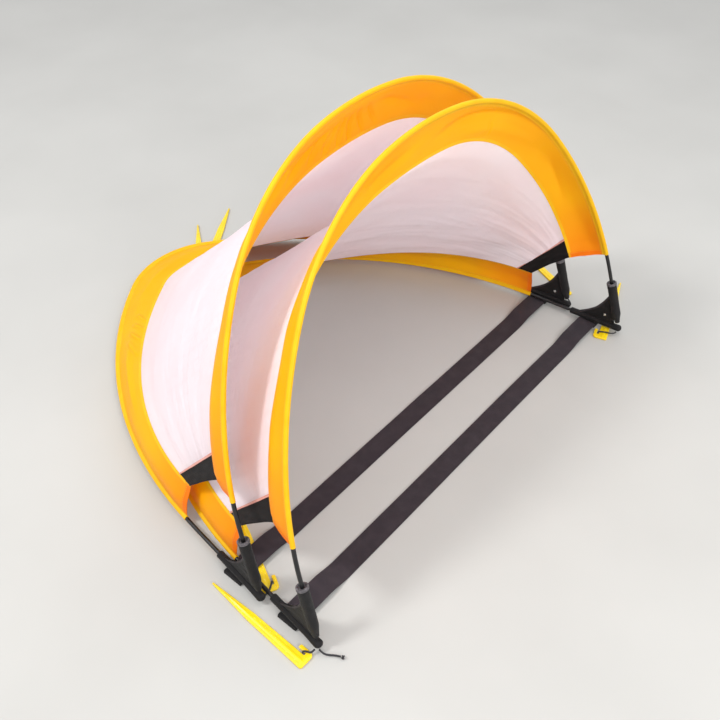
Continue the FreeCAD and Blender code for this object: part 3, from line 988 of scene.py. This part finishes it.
def add_strap(goal):
    x = np.linspace(-strap_end, strap_end, 301)
    y = np.linspace(-strap_width / 2, strap_width / 2, 11)
    flat_from, slope_end = half - 0.160, half - 0.100
    share = np.clip((np.abs(x) - flat_from) / (slope_end - flat_from), 0, 1)
    rise = share * share * (3 - 2 * share) * 9.0 * mm
    points = np.zeros((len(x), len(y), 3))
    wander = np.array([noise.noise(Vector((at * 2.1, goal * 5.0, 0.3))) for at in x]) * 1.6 * mm
    lift = np.array([[max(noise.noise(Vector((at * 7, across * 30, goal * 2.0))), 0) for across in y]
                     for at in x]) * 1.4 * mm
    points[..., 0] = x[:, None]
    points[..., 1] = feet_y[goal] + strap_y + y[None, :] + (wander * (1 - share))[:, None]
    points[..., 2] = (rise + strap_t / 2)[:, None] + lift * (1 - share)[:, None]
    uv = np.stack(np.meshgrid(x, y, indexing="ij"), -1)
    obj = slab("webbing_strap_%d" % goal, points, strap_t, uv, uv,
               finish_of(webbing, "charcoal_webbing", "3E343A", colours().webbing))
    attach(obj, "goal_%d_base" % goal)
    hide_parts("ground_strap_%d" % goal)


def add_strap_folds(goal):
    """Webbing folded in three under each end of the strap, which carries the boot."""
    parts = []
    layer = tab_top / 3
    for side in sides.values():
        inner, outer = strap_end - 5 * mm, half + 4 * mm
        for i in range(3):
            deselect()
            tuck = 0.6 * mm * i
            bpy.ops.mesh.primitive_cube_add(
                size=1,
                location=(side * (inner + outer - tuck) / 2, feet_y[goal] + strap_y, layer * (i + 0.5)),
                scale=(outer - inner - tuck, strap_width - 0.8 * mm, layer - 0.1 * mm))
            part = place_in_mesh(bpy.context.object)
            apply_modifier(part, "BEVEL", width=1.1 * mm, segments=3)
            parts.append(part)
    obj = join("strap_end_folds_%d" % goal, parts)
    layer_uv = obj.data.uv_layers[0]
    layer_uv.name = "cloth"
    for face in obj.data.polygons:
        for loop in face.loop_indices:
            spot = obj.data.vertices[obj.data.loops[loop].vertex_index].co
            layer_uv.data[loop].uv = (spot.x + spot.z, spot.y)
    obj.data.materials.clear()
    obj.data.materials.append(black_webbing())
    only(obj)
    bpy.ops.object.shade_smooth_by_angle(angle=radians(40))
    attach(obj, "goal_%d_base" % goal)
    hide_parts("strap_tabs_%d" % goal)


# --- pegs ---

def peg_frame(place, goal, head, turn):
    start = np.array([head[0] + half * sides.get(place, 0), feet_y[goal] + head[1], 0.0])
    if place not in sides:
        start[1] += rear_reach
    a = radians(turn)
    return start, np.array([sin(a), cos(a), 0]), np.array([cos(a), -sin(a), 0])


def rounded(corners, steps=5):
    """An outline with each corner (x, y, radius) turned as an arc."""
    out = []
    for i, (x, y, r) in enumerate(corners):
        here = np.array([x, y])
        before = unit(np.array(corners[i - 1][:2]) - here)
        after = unit(np.array(corners[(i + 1) % len(corners)][:2]) - here)
        if r <= 0:
            out.append(here)
            continue
        angle = np.arccos(np.clip(before @ after, -1, 1))
        cut = r / tan(angle / 2)
        middle = here + unit(before + after) * (r / sin(angle / 2))
        a, b = here + before * cut - middle, here + after * cut - middle
        for k in range(steps + 1):
            out.append(middle + unit(a * (1 - k / steps) + b * (k / steps)) * r)
    return out


def add_peg(place, goal, head, turn, hook):
    start, ahead, across = peg_frame(place, goal, head, turn)
    w, bar, notch, prong = peg_width / 2, peg_head * 0.4, peg_notch, peg_width / 2 + peg_notch + peg_prong
    corners = [(0, -w, 5 * mm), (peg_taper, -w * 0.8, 0), (peg_length, -peg_tip, 1 * mm),
               (peg_length, peg_tip, 1 * mm), (peg_taper, w * 0.8, 0), (peg_head, w, 0),
               (bar, w, 2.4 * mm), (bar, w + notch, 2.4 * mm), (peg_head, w + notch, 1.5 * mm),
               (peg_head, prong, 3 * mm), (0, prong, 9 * mm)]
    outline = rounded(corners)
    deselect()
    bpy.ops.mesh.primitive_circle_add(vertices=len(outline), radius=0.01, fill_type="NGON")
    plate = bpy.context.object
    for vertex, (s, side) in zip(plate.data.vertices, outline):
        vertex.co = start + ahead * s + across * side * hook
    bpy.ops.object.mode_set(mode="EDIT")
    bpy.ops.mesh.select_all(action="SELECT")
    bpy.ops.mesh.extrude_region_move(TRANSFORM_OT_translate={"value": (0, 0, peg_plate_t)})
    bpy.ops.mesh.select_all(action="SELECT")
    bpy.ops.mesh.normals_make_consistent(inside=False)
    bpy.ops.object.mode_set(mode="OBJECT")
    apply_modifier(plate, "BEVEL", width=1.0 * mm, segments=3, limit_method="ANGLE", angle_limit=radians(35))
    if not plate.data.uv_layers:
        plate.data.uv_layers.new(name="cloth")
    rings = []
    for s in np.linspace(4 * mm, peg_length - 6 * mm, 40):
        if s < peg_taper:
            edge = w * (1 - 0.2 * (s / peg_taper))
        else:
            edge = w * 0.8 + (peg_tip - w * 0.8) * (s - peg_taper) / (peg_length - peg_taper)
        wide = edge * 0.62
        top = peg_t if s > 8 * mm else peg_t - 1 * mm
        section = [(-wide, 4.6 * mm), (-wide * 0.25, top - 0.4 * mm), (0, top), (wide * 0.25, top - 0.4 * mm),
                   (wide, 4.6 * mm), (wide * 0.5, 3 * mm), (-wide * 0.5, 3 * mm)]
        rings.append([start + ahead * s + across * x + np.array([0, 0, z]) for x, z in section])
    spine = tube("spine", rings, finish_of(moulded_peg))
    plate.data.materials.clear()
    plate.data.materials.append(finish_of(moulded_peg))
    obj = join("peg_moulding_%s_%d" % (place, goal), [plate, spine])
    only(obj)
    bpy.ops.object.shade_smooth_by_angle(angle=radians(32))
    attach(obj, "peg_%s_%d_body" % (place, goal))
    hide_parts("peg_%s_%d" % (place, goal))


# --- cords ---

def smooth_route(points):
    """Points along the NURBS line through a route, as a curve with no bevel gives them."""
    curve = bpy.data.curves.new("route", "CURVE")
    curve.dimensions = "3D"
    curve.resolution_u = 24
    spline = curve.splines.new("NURBS")
    spline.points.add(len(points) - 1)
    for spot, at in zip(spline.points, points):
        spot.co = (*at, 1)
    spline.order_u = 3
    spline.use_endpoint_u = True
    obj = bpy.data.objects.new("route", curve)
    bpy.context.scene.collection.objects.link(obj)
    bpy.context.view_layer.update()
    mesh = bpy.data.meshes.new_from_object(obj)
    line = np.array([v.co for v in mesh.vertices], float)
    bpy.data.objects.remove(obj)
    bpy.data.curves.remove(curve)
    return line


def braided_rings(line, radius, count=18, lay=9.0 * mm, strands=4):
    """Rings along a line whose surface rises where two sets of strands cross."""
    step = np.linalg.norm(np.diff(line, axis=0), axis=1)
    run = np.concatenate([[0], np.cumsum(step)])
    spaced = np.linspace(0, run[-1], max(int(run[-1] / (0.5 * mm)), 12))
    path = np.stack([np.interp(spaced, run, line[:, k]) for k in range(3)], 1)
    tangents = unit(np.gradient(path, axis=0))
    side = unit(np.cross(tangents[0], np.array([0.1, 0.2, 1.0])))
    rings = []
    for at, tangent, s in zip(path, tangents, spaced):
        side = unit(side - tangent * (side @ tangent))
        third = np.cross(tangent, side)
        shape_ring = []
        for turn in np.linspace(0, 2 * pi, count, endpoint=False):
            phase = 2 * pi * s / lay * strands / 2
            ridge = max(cos(strands * turn + phase), cos(strands * turn - phase))
            r = radius * (0.93 + 0.07 * ridge)
            shape_ring.append(at + side * (r * cos(turn)) + third * (r * sin(turn)))
        rings.append(shape_ring)
    return path, rings


def add_cord(name, points, body, node):
    line = smooth_route(points)
    path, rings = braided_rings(line, cord_r)
    obj = tube(name, rings, finish_of(braided_elastic))
    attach(obj, body)
    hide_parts(node)


loop_lead, loop_exit_drop, loop_end, loop_slack, loop_seat = 0.009, 0.0065, 0.0024, 0.0015, 0.0005
loop_height = peg_t + cord_r + 0.0005
peg_notch_at = 0.020


def loop_route(place, goal, head, turn, hook):
    """From the end face of the boot's toe, over the peg's prong, and down into its notch."""
    start, ahead, across = peg_frame(place, goal, head, turn)
    side = sides[place]
    notch = start + ahead * peg_notch_at + across * (hook * (peg_width + peg_notch) / 2)
    outward = 1 if notch[0] - side * half > 0 else -1
    exit_x = side * half + outward * (toe_half + loop_seat)
    toe = np.array([exit_x, feet_y[goal], rod_height - loop_exit_drop])
    lead = np.array([exit_x + outward * loop_lead, feet_y[goal], loop_height])
    above = np.array([notch[0], notch[1], loop_height])
    approach = lead - above
    slack = unit(np.array([-approach[1], approach[0], 0]))
    nearer = above + approach * 0.4 + slack * loop_slack
    return [toe, lead, nearer, above, np.array([notch[0], notch[1], loop_end])]


tail_route = [(-0.006, -0.00705, 0.01295), (-0.0059, -0.0156, 0.0074), (0.0, -0.025, 0.0039),
              (0.008, -0.0345, 0.0034), (0.013, -0.0455, 0.0046)]


def add_tail():
    points = [np.array([x - half, y + feet_y[1], z]) for x, y, z in tail_route]
    onward = unit(points[-1] - points[-2])
    knot = add_knot(points[-1] + onward * 4.5 * mm, onward)
    add_cord("elastic_tail", points, "goal_1_base", "cord_tail")


def add_knot(centre, onward):
    """Overhand knot pulled tight, as a closed trefoil of the same cord."""
    a = unit(np.cross(onward, np.array([0, 0, 1.0])))
    b = np.cross(onward, a)
    size = 1.05 * mm
    line = []
    for k in np.linspace(0, 2 * pi, 60, endpoint=False):
        x, y, z = sin(k) + 2 * sin(2 * k), cos(k) - 2 * cos(2 * k), -sin(3 * k) * 1.3
        line.append(centre + (a * x + b * y) * size + onward * z * size)
    line = np.array(line)
    tangents = unit(np.roll(line, -1, 0) - np.roll(line, 1, 0))
    side = unit(np.cross(tangents[0], onward))
    rings = []
    for at, tangent in zip(line, tangents):
        side = unit(side - tangent * (side @ tangent))
        rings.append(ring(at, side, np.cross(tangent, side), 1.5 * mm, 1.5 * mm, count=12))
    obj = tube("tied_knot", rings, finish_of(braided_elastic))
    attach(obj, "goal_1_base")
    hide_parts("tail_knot")
    return obj


# --- operators ---

class GOALS_OT_rods(bpy.types.Operator):
    """Give the fibreglass rods their finish"""
    bl_idname = "goals.rods"
    bl_label = "Rods"

    def execute(self, context):
        for goal in feet_y:
            for where in arches:
                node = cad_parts["%s_arch_rod_%d" % (where, goal)]
                node.data.materials.clear()
                node.data.materials.append(finish_of(pultruded_rod))
        return {"FINISHED"}


class GOALS_OT_bands(bpy.types.Operator):
    """Make the cloth bands and the hems round the rods"""
    bl_idname = "goals.bands"
    bl_label = "Bands and hems"

    def execute(self, context):
        for goal in feet_y:
            for where in arches:
                add_band(where, goal)
                add_channel(where, goal)
        return {"FINISHED"}


class GOALS_OT_nets(bpy.types.Operator):
    """Make the nets and the corner panels"""
    bl_idname = "goals.nets"
    bl_label = "Nets and corner panels"

    def execute(self, context):
        for goal in feet_y:
            add_net(goal)
            for name, side in sides.items():
                add_panel(name, side, goal)
        return {"FINISHED"}


class GOALS_OT_boots(bpy.types.Operator):
    """Make the boots, their collars and eyelets"""
    bl_idname = "goals.boots"
    bl_label = "Boots"

    def execute(self, context):
        for goal in feet_y:
            for name, side in sides.items():
                add_front_sleeve(name, side, goal)
                add_boot(name, side, goal)
                add_gusset(name, side, goal)
            add_collars(goal)
        return {"FINISHED"}


class GOALS_OT_straps(bpy.types.Operator):
    """Make the ground straps and their folded ends"""
    bl_idname = "goals.straps"
    bl_label = "Ground straps"

    def execute(self, context):
        for goal in feet_y:
            add_strap(goal)
            add_strap_folds(goal)
        return {"FINISHED"}


class GOALS_OT_pegs(bpy.types.Operator):
    """Make the moulded pegs"""
    bl_idname = "goals.pegs"
    bl_label = "Pegs"

    def execute(self, context):
        for peg in pegs:
            add_peg(*peg)
        return {"FINISHED"}


class GOALS_OT_cords(bpy.types.Operator):
    """Make the elastic cords"""
    bl_idname = "goals.cords"
    bl_label = "Elastic cords"

    def execute(self, context):
        for peg in pegs:
            place, goal = peg[:2]
            if place in sides:
                add_cord("elastic_loop_%s_%d" % (place, goal), loop_route(*peg), "goal_%d_base" % goal,
                         "peg_loop_%s_%d" % (place, goal))
        add_tail()
        return {"FINISHED"}


class GOALS_OT_stage(bpy.types.Operator):
    """Set up the floor, lights and camera"""
    bl_idname = "goals.stage"
    bl_label = "Stage"

    def execute(self, context):
        deselect()
        bpy.ops.mesh.primitive_plane_add(size=40, location=(0, 0, -0.5 * mm))
        floor = bpy.context.object
        floor.name = "floor"
        floor.data.materials.append(finish_of(studio_floor))
        for name, spot, aim, size, power in (
                ("sun_panel", (-2.4, 1.6, 3.4), (0, 0.4, 0.2), 0.7, 85),
                ("front_fill", (-0.9, -3.0, 2.2), (0, 0.3, 0.3), 2.6, 85),
                ("top_fill", (0.6, 0.2, 3.4), (0, 0.4, 0.2), 2.8, 34)):
            light = bpy.data.lights.new(name, "AREA")
            light.size, light.energy = size, power
            lamp = bpy.data.objects.new(name, light)
            context.scene.collection.objects.link(lamp)
            lamp.location = spot
            lamp.rotation_euler = (Vector(aim) - Vector(spot)).to_track_quat("-Z", "Y").to_euler()
        world = bpy.data.worlds.new("studio_air")
        context.scene.world = world
        world.use_nodes = True
        world.node_tree.nodes["Background"].inputs["Color"].default_value = srgb("F6F7FA")
        world.node_tree.nodes["Background"].inputs["Strength"].default_value = 0.92
        context.scene.view_settings.view_transform = "Standard"
        camera = bpy.data.cameras.new("camera")
        camera.sensor_width, camera.lens = 36.0, 42.53
        camera.clip_start, camera.clip_end = 0.05, 60
        eye = bpy.data.objects.new("camera", camera)
        context.scene.collection.objects.link(eye)
        ahead, right, up = (0.5567, 0.4632, -0.6896), (0.6458, -0.7635, 0.0084), (0.5226, 0.4500, 0.7242)
        turn = Matrix((right, up, tuple(-x for x in ahead))).transposed()
        eye.matrix_world = Matrix.Translation((-1.1694, -0.6510, 1.5295)) @ turn.to_4x4()
        context.scene.camera = eye
        return {"FINISHED"}


class GOALS_PT_panel(bpy.types.Panel):
    """Lists the pieces and their settings"""
    bl_idname = "GOALS_PT_panel"
    bl_label = "Goals"
    bl_space_type = "VIEW_3D"
    bl_region_type = "UI"
    bl_category = "Goals"

    def draw(self, context):
        for group in (context.scene.goal_shape, context.scene.goal_colours):
            for key in group.__annotations__:
                self.layout.prop(group, key)
        for operator in operators:
            self.layout.operator(operator.bl_idname)


operators = (GOALS_OT_stage, GOALS_OT_rods, GOALS_OT_cords, GOALS_OT_bands, GOALS_OT_nets, GOALS_OT_boots,
             GOALS_OT_straps, GOALS_OT_pegs)
classes = (GoalShapeSettings, GoalColourSettings, *operators, GOALS_PT_panel)


def register():
    for cls in classes:
        bpy.utils.register_class(cls)
    bpy.types.Scene.goal_shape = bpy.props.PointerProperty(type=GoalShapeSettings)
    bpy.types.Scene.goal_colours = bpy.props.PointerProperty(type=GoalColourSettings)


def unregister():
    del bpy.types.Scene.goal_colours
    del bpy.types.Scene.goal_shape
    for cls in reversed(classes):
        bpy.utils.unregister_class(cls)


def main():
    register()
    bpy.ops.goals.stage()
    bpy.ops.goals.rods()
    bpy.ops.goals.cords()
    bpy.ops.goals.bands()
    bpy.ops.goals.nets()
    bpy.ops.goals.boots()
    bpy.ops.goals.straps()
    bpy.ops.goals.pegs()


if __name__ == "__main__":
    main()
